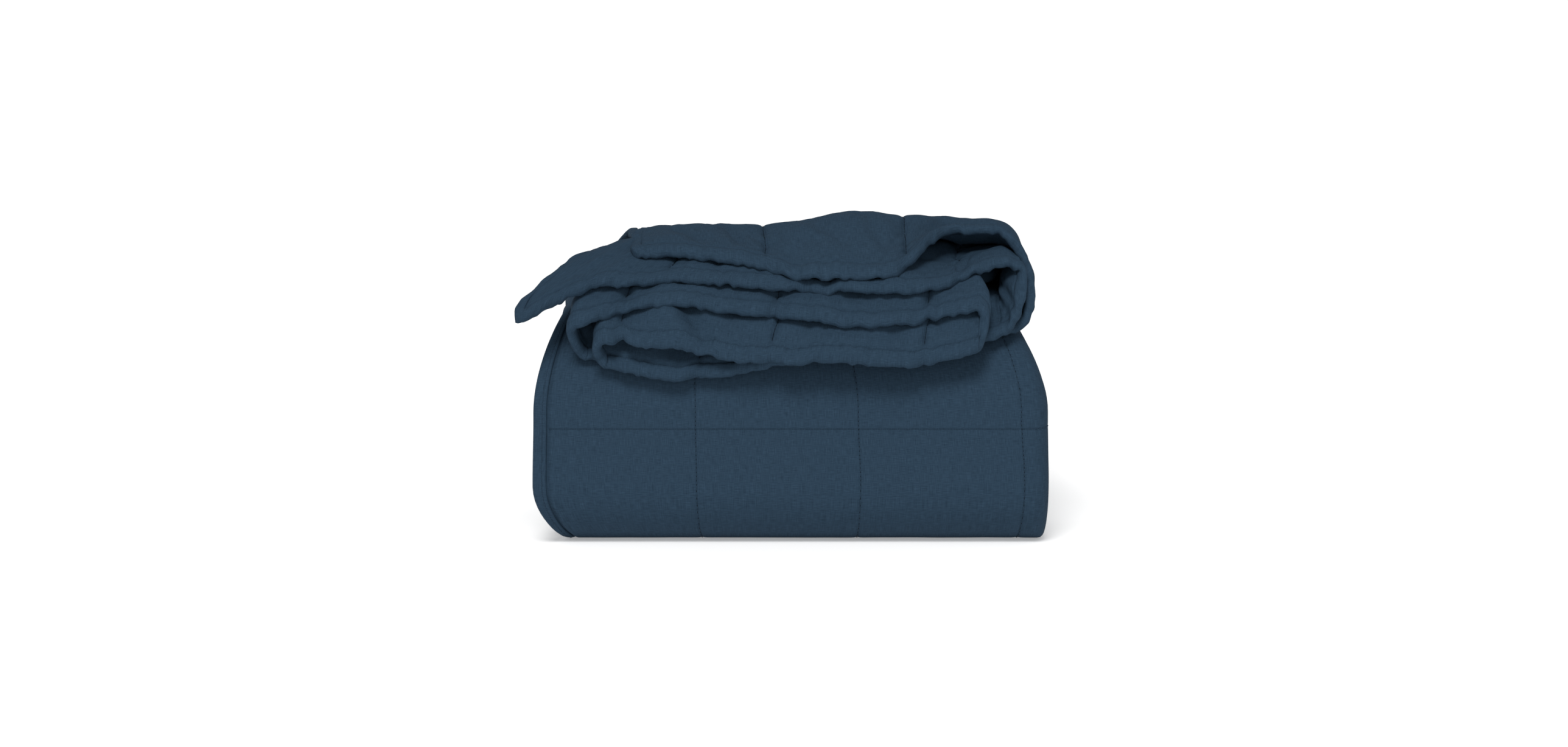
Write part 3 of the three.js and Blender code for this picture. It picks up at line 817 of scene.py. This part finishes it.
def quilt_sheet(linen):
    """The quilted cloth as one closed sheet, in fine cells where it shows."""
    widths, lengths = block_lines(CUT_WIDTH, 0), block_lines(CUT_LENGTH, FIRST_ROW)
    shape = (len(widths), len(lengths))
    by_side = cells_by_side(widths, lengths)
    used = {side: mark_corners(shape, cells) for side, cells in by_side.items()}
    border = np.zeros(shape, bool)
    border[[0, -1], :], border[:, [0, -1]] = True, True
    shared = border & (used[1] | used[-1])
    points, flat, faces, rims, count = [], [], [], {}, 0
    for side, cells in by_side.items():
        on = used[side] | shared
        numbers = np.where(on, np.cumsum(on).reshape(shape) - 1 + count, -1)
        i, j = np.nonzero(on)
        u, v = widths[i], lengths[j]
        points.append(cloth(u, v, side * quilt_half(u, v) + ripple(u, v)))
        flat.append(np.column_stack([u, v]))
        outlines = [cell_outline(on, numbers, cell) for cell in cells.tolist()]
        faces += [outline[::-side] for outline in outlines]
        rims[side] = rim_loop(numbers, on)
        count += len(u)
    faces += rim_faces(rims[1], rims[-1])
    return make_mesh("quilt_cloth", np.concatenate(points), faces, np.concatenate(flat), [linen])


# Steps between the binding's rings: on the end hem, the inner end, and the shown and hidden side edges
HEM_STEP, END_STEP, SHOWN_STEP, HIDDEN_STEP = 1.8, 6.0, 3.0, 9.0


def binding_stations():
    """Where each side of the flat quilt has rings of the binding, as shares of the side."""
    hem = np.linspace(0, 1, round(CUT_WIDTH / HEM_STEP) + 1)[:-1]
    inner_end = np.linspace(0, 1, round(CUT_WIDTH / END_STEP) + 1)[:-1]
    shown = np.arange(BROW_FROM, CUT_LENGTH - 1, SHOWN_STEP)
    edge = np.concatenate([np.arange(0, BROW_FROM, HIDDEN_STEP), shown]) / CUT_LENGTH
    return inner_end, edge, hem


# The binding's section: how far inside the edge, and how thick there, as shares of its size
BINDING_PROFILE = [
    (1.0, 0.4),
    (0.985, 0.75),
    (0.92, 0.97),
    (0.75, 1.02),
    (0.52, 1.0),
    (0.3, 0.94),
    (0.14, 0.78),
    (0.05, 0.52),
    (0.0, 0.22),
]
BINDING_NEAT, BINDING_STUFFED = 1.0, 1.6  # of its thickness, in the strip and along the end hem


def ring_places(inset):
    """Places of the binding's rings at an inset from the flat quilt's edge, in order round it."""
    inner_end, edge, hem = binding_stations()
    edge_back = np.append(edge[1:], 1.0)[::-1]
    low_u, high_u = inset, CUT_WIDTH - inset
    low_v, high_v = inset, CUT_LENGTH - inset
    at_inner_end = [lerp(low_u, high_u, inner_end), np.full(inner_end.size, low_v)]
    at_last_edge = [np.full(edge.size, high_u), lerp(low_v, high_v, edge)]
    at_hem = [lerp(high_u, low_u, hem), np.full(hem.size, high_v)]
    at_first_edge = [np.full(edge.size, low_u), lerp(low_v, high_v, edge_back)]
    return np.concatenate([at_inner_end, at_last_edge, at_hem, at_first_edge], axis=1)


def binding_half(u, v):
    fullness = lerp(BINDING_NEAT, BINDING_STUFFED, stuffed_at(v))
    uneven = rumpled_at(v) * layered(u + v, u - v, BINDING_LUMPS)
    return BINDING_THICKNESS / 2 * (fullness + uneven)


def binding_strip(linen):
    """The sewn-on strip that is folded over the quilt's edge, as one closed ring."""
    outline = BINDING_PROFILE + [(inset, -half) for inset, half in reversed(BINDING_PROFILE)]
    points, flat = [], []
    for inset, half in outline:
        u, v = ring_places(inset * BINDING_WIDTH)
        points.append(cloth(u, v, half * binding_half(u, v) + ripple(u, v)))
        flat.append(np.column_stack([u + half, v + half]))
    rings, stations = len(outline), points[0].shape[0]
    number = np.arange(rings * stations).reshape(rings, stations)
    ring_on, on = np.roll(number, -1, axis=0), np.roll(number, -1, axis=1)
    both_on = np.roll(ring_on, -1, axis=1)
    faces = np.stack([number, on, both_on, ring_on], axis=-1).reshape(-1, 4).tolist()
    return make_mesh("binding_strip", np.concatenate(points), faces, np.concatenate(flat), [linen])


class Seam(NamedTuple):
    """A straight run of stitches on one side of the flat quilt."""

    start: tuple
    end: tuple
    side: int
    pitch: float
    hole: float  # half the length of a needle hole


def neat_seams():
    """The stitch lines along the outer ply of the strip, up to its rumpled end."""
    lines = np.arange(BOX, HEM[1].ends, BOX)
    return [Seam((u, BROW_FROM), (u, RUMPLED_FROM), 1, LINE_PITCH, LINE_HOLE) for u in lines]


def sunk_seams():
    """The stitch lines along the strip's rumpled end, on the sides that show."""
    end = CUT_LENGTH - LINE_STOP
    outer = np.arange(BOX, HEM[1].ends, BOX)
    seams = [Seam((u, RUMPLED_FROM), (u, end), 1, LINE_PITCH, LINE_HOLE) for u in outer]
    start = HEM[1].ends
    for row in HEM[2:]:
        if isinstance(row, Ply):
            side = 1 if row.ply % 2 else -1
            lines = np.arange(math.ceil(start / BOX) * BOX, row.ends, BOX)
            seams += [Seam((u, CUT_LENGTH - BOX), (u, end), side, LINE_PITCH, LINE_HOLE) for u in lines]
        start = row.ends
    return seams


def row_seams():
    """The stitch lines across the strip, on the sides that show."""
    rows = np.arange(FIRST_ROW, CUT_LENGTH - ROW_STOP, BOX)
    outer = [((ROW_STOP, v), (HEM[1].ends, v)) for v in rows[rows > BROW_FROM]]
    leaf = (HEM[-2].ends, rows[-1]), (CUT_WIDTH - ROW_STOP, rows[-1])
    seams = [Seam(start, end, 1, ROW_PITCH, ROW_HOLE) for start, end in outer]
    return seams + [Seam(*leaf, -1, ROW_PITCH, ROW_HOLE)]


def binding_seams():
    near = EDGE_STITCH_INSET
    return [Seam((near, BROW_FROM), (near, BASE_FROM), 1, BINDING_PITCH, BINDING_HOLE)]


# A stitch along its length: place and height as shares of its length and width, and its girth
STITCH_RINGS = [(-0.5, -0.5, 0.45), (-0.28, 0.55, 1.0), (0.28, 0.55, 1.0), (0.5, -0.5, 0.45)]
STITCH_SIDES = 4
HOLE_SIDES = 6
HOLE_WIDTH = 0.6  # as a share of its length
HOLE_HEIGHT = 0.12


def stitch_template(pitch):
    """A stitch's points (along, across, height) and faces."""
    points, faces = [], []
    for place, height, girth in STITCH_RINGS:
        for k in range(STITCH_SIDES):
            angle = 2 * math.pi * (k + 0.5) / STITCH_SIDES
            across = girth * STITCH_HALF_WIDTH * math.cos(angle)
            rise = STITCH_HALF_WIDTH * (height + girth * math.sin(angle))
            points.append((place * pitch * STITCH_SHARE, across, rise))
    for ring in range(len(STITCH_RINGS) - 1):
        for k in range(STITCH_SIDES):
            a, b = ring * STITCH_SIDES + k, ring * STITCH_SIDES + (k + 1) % STITCH_SIDES
            faces.append((a, b, b + STITCH_SIDES, a + STITCH_SIDES))
    last = len(points) - STITCH_SIDES
    faces.append(tuple(range(STITCH_SIDES - 1, -1, -1)))
    faces.append(tuple(range(last, last + STITCH_SIDES)))
    return np.array(points), faces


def hole_template(pitch, half):
    """A needle hole's rim, between one stitch and the next: a flat disc that carries the painted shade of
    the hole.
    """
    angles = 2 * math.pi * np.arange(HOLE_SIDES) / HOLE_SIDES
    along, across = pitch / 2 + half * np.cos(angles), HOLE_WIDTH * half * np.sin(angles)
    rim = np.column_stack([along, across, np.full(HOLE_SIDES, HOLE_HEIGHT)])
    return rim, [tuple(range(HOLE_SIDES))]


def place_template(seam, template, half_at):
    """A template's points at every stitch of a seam, and its faces."""
    points, faces = template
    (u0, v0), (u1, v1) = seam.start, seam.end
    length = math.hypot(u1 - u0, v1 - v0)
    count = int(length / seam.pitch)
    way = np.array([(u1 - u0) / length, (v1 - v0) / length])
    centres = (np.arange(count) + 0.5) * seam.pitch
    along = (centres[:, None] + points[None, :, 0]).ravel()
    across = np.tile(points[:, 1], count)
    rise = np.tile(points[:, 2], count)
    line_u, line_v = u0 + way[0] * along, v0 + way[1] * along
    line_u = line_u + way[1] * line_stray(line_u, line_v)
    u, v = line_u - way[1] * across, line_v + way[0] * across
    surface = half_at(line_u + THREAD_CLEAR, line_v + THREAD_CLEAR)
    placed = cloth(u, v, seam.side * (surface + rise) + ripple(line_u, line_v))
    step = len(points)
    numbered = [[n + k * step for n in face[:: seam.side]] for k in range(count) for face in faces]
    return placed, numbered, np.column_stack([u, v])


def stitches(name, seams, half_at, materials):
    """Threads and needle holes of some seams, joined in one mesh."""
    points, faces, flat, kinds, count = [], [], [], [], 0
    for seam in seams:
        templates = (stitch_template(seam.pitch), hole_template(seam.pitch, seam.hole))
        for kind, template in enumerate(templates):
            placed, numbered, places = place_template(seam, template, half_at)
            faces += [[n + count for n in face] for face in numbered]
            kinds += [kind] * len(numbered)
            points.append(placed)
            flat.append(places)
            count += len(placed)
    made = make_mesh(name, np.concatenate(points), faces, np.concatenate(flat), materials)
    made.data.polygons.foreach_set("material_index", np.array(kinds, np.int32))
    return made


LINEN_DARK, LINEN_LIGHT = (0.0139, 0.0278, 0.0457), (0.0286, 0.0547, 0.0871)
# The second thread colour is near black. It is painted shade of the deep grooves along the rumpled plies'
# stitch lines; the thread itself is the same as the first.
THREAD, GROOVE_SHADE_THREAD = (0.0205, 0.04, 0.0645), (0.006, 0.011, 0.018)
# Needle holes are flat near-black discs: painted shade of the little pits where the thread goes into the
# cloth.
NEEDLE_HOLE_SHADE = (0.004, 0.007, 0.011)
FLOOR_WHITE, FLOOR_GLOW = (0.9, 0.9, 0.9), 0.3
LINEN_ROUGHNESS, THREAD_ROUGHNESS, FLOOR_ROUGHNESS = 0.92, 0.7, 1.0
SPECULAR = 0.05
# Lumps of tone in a metre across the flat quilt and along it
WEFT, WARP = (190, 2600), (2600, 150)
WEFT_SLUBS, WARP_SLUBS = (45, 1500), (1500, 35)
THREAD_GRAIN = (1500, 1500)
SLUB_SHARE = 0.15
DARK_AT, LIGHT_AT = 0.32, 0.68  # places in the tones' range where the darkest and lightest colours are
THREAD_SHADES = (0.7, 1.3)
WEAVE_STRENGTH, WEAVE_HEIGHT = 0.35, 0.0006  # the height in metres


def new_material(name, colour, roughness):
    material = bpy.data.materials.new(name)
    material.use_nodes = True
    shader = material.node_tree.nodes["Principled BSDF"]
    shader.inputs["Base Color"].default_value = (*colour, 1)
    shader.inputs["Roughness"].default_value = roughness
    shader.inputs["Specular IOR Level"].default_value = SPECULAR
    return material, shader


def grain(material, lumps_per_metre):
    """Noise on the flat quilt, with so many lumps in a metre across it and along it."""
    nodes, links = material.node_tree.nodes, material.node_tree.links
    flat = nodes.new("ShaderNodeUVMap")
    flat.uv_map = "flat"
    place = nodes.new("ShaderNodeMapping")
    place.inputs["Scale"].default_value = (*lumps_per_metre, 1)
    links.new(flat.outputs["UV"], place.inputs["Vector"])
    lumps = nodes.new("ShaderNodeTexNoise")
    lumps.inputs["Scale"].default_value = 1
    lumps.inputs["Detail"].default_value = 1
    links.new(place.outputs["Vector"], lumps.inputs["Vector"])
    return lumps.outputs["Fac"]


def tint(material, shader, tone, dark, light):
    """Colours a shader from dark to light by a tone."""
    nodes, links = material.node_tree.nodes, material.node_tree.links
    ramp = nodes.new("ShaderNodeValToRGB")
    stops = ((DARK_AT, dark), (LIGHT_AT, light))
    for element, (position, colour) in zip(ramp.color_ramp.elements, stops):
        element.position = position
        element.color = (*colour, 1)
    links.new(tone, ramp.inputs["Fac"])
    links.new(ramp.outputs["Color"], shader.inputs["Base Color"])


def thread_material(name, colour):
    """Twisted thread, uneven in tone."""
    material, shader = new_material(name, colour, THREAD_ROUGHNESS)
    dark, light = ([share * part for part in colour] for share in THREAD_SHADES)
    tint(material, shader, grain(material, THREAD_GRAIN), dark, light)
    return material


def linen_material():
    """Slubbed plain weave: threads across and along the flat quilt, uneven in tone and height."""
    material, shader = new_material("linen", LINEN_LIGHT, LINEN_ROUGHNESS)
    nodes, links = material.node_tree.nodes, material.node_tree.links

    def total(a, b, share):
        mixed = nodes.new("ShaderNodeMix")
        mixed.inputs["Factor"].default_value = share
        links.new(a, mixed.inputs["A"])
        links.new(b, mixed.inputs["B"])
        return mixed.outputs["Result"]

    weave = total(grain(material, WEFT), grain(material, WARP), 0.5)
    slubs = total(grain(material, WEFT_SLUBS), grain(material, WARP_SLUBS), 0.5)
    tint(material, shader, total(weave, slubs, SLUB_SHARE), LINEN_DARK, LINEN_LIGHT)
    relief = nodes.new("ShaderNodeBump")
    relief.inputs["Strength"].default_value = WEAVE_STRENGTH
    relief.inputs["Distance"].default_value = WEAVE_HEIGHT
    links.new(weave, relief.inputs["Height"])
    links.new(relief.outputs["Normal"], shader.inputs["Normal"])
    return material


def studio_floor():
    bpy.ops.mesh.primitive_plane_add(size=FLOOR_SIZE, location=(0, 0, 0))
    floor = bpy.context.object
    floor.name = "studio_floor"
    material, shader = new_material("floor_white", FLOOR_WHITE, FLOOR_ROUGHNESS)
    shader.inputs["Emission Color"].default_value = (1, 1, 1, 1)
    shader.inputs["Emission Strength"].default_value = FLOOR_GLOW
    floor.data.materials.append(material)


def soft_light(name, light_from, breadth, strength):
    """A broad light from one way, even over the whole floor."""
    data = bpy.data.lights.new(name, "SUN")
    data.energy = strength
    data.angle = math.radians(breadth)
    made = bpy.data.objects.new(name, data)
    made.rotation_euler = (-Vector(light_from)).to_track_quat("-Z", "Y").to_euler()
    bpy.context.scene.collection.objects.link(made)


def studio_light():
    world = bpy.data.worlds.new("studio")
    bpy.context.scene.world = world
    world.use_nodes = True
    sky = world.node_tree.nodes["Background"]
    sky.inputs["Color"].default_value = (1, 1, 1, 1)
    sky.inputs["Strength"].default_value = SKY_STRENGTH
    soft_light("key_light", KEY_FROM, KEY_BREADTH, KEY_STRENGTH)
    soft_light("fill_light", FILL_FROM, FILL_BREADTH, FILL_STRENGTH)
    bpy.context.scene.view_settings.view_transform = "Standard"


def photo_camera():
    elevation = math.radians(CAMERA_ELEVATION)
    ahead = Vector((0, math.cos(elevation), -math.sin(elevation)))
    data = bpy.data.cameras.new("photo_camera")
    data.sensor_width = SENSOR_MM
    data.lens = SENSOR_MM * CAMERA_DISTANCE * 1000 / (PHOTO_WIDTH_PX * MM_PER_PX)
    made = bpy.data.objects.new("photo_camera", data)
    made.location = Vector(CAMERA_TARGET) - ahead * CAMERA_DISTANCE
    made.rotation_euler = ahead.to_track_quat("-Z", "Y").to_euler()
    bpy.context.scene.collection.objects.link(made)
    bpy.context.scene.camera = made


def dress_quilt():
    linen = linen_material()
    # The rumpled stitch lines' thread is coloured near black as painted shade of their grooves.
    thread, groove_shade_thread = thread_material("thread", THREAD), thread_material("groove_shade_thread", GROOVE_SHADE_THREAD)
    # The needle-hole discs are coloured near black as painted shade of the pits.
    hole = thread_material("needle_hole_shade", NEEDLE_HOLE_SHADE)
    quilt, binding = quilt_sheet(linen), binding_strip(linen)
    quilting = stitches("neat_stitches", neat_seams() + row_seams(), quilt_half, [thread, hole])
    sunk = stitches("sunk_stitches", sunk_seams(), quilt_half, [groove_shade_thread, hole])
    edging = stitches("binding_stitches", binding_seams(), binding_half, [thread, hole])
    for piece in (quilt, binding, quilting, sunk, edging):
        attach(piece, "root")
    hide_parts("quilt")
    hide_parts("binding")


def main():
    bpy.ops.wm.read_factory_settings(use_empty=True)
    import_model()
    dress_quilt()
    studio_floor()
    studio_light()
    photo_camera()


main()
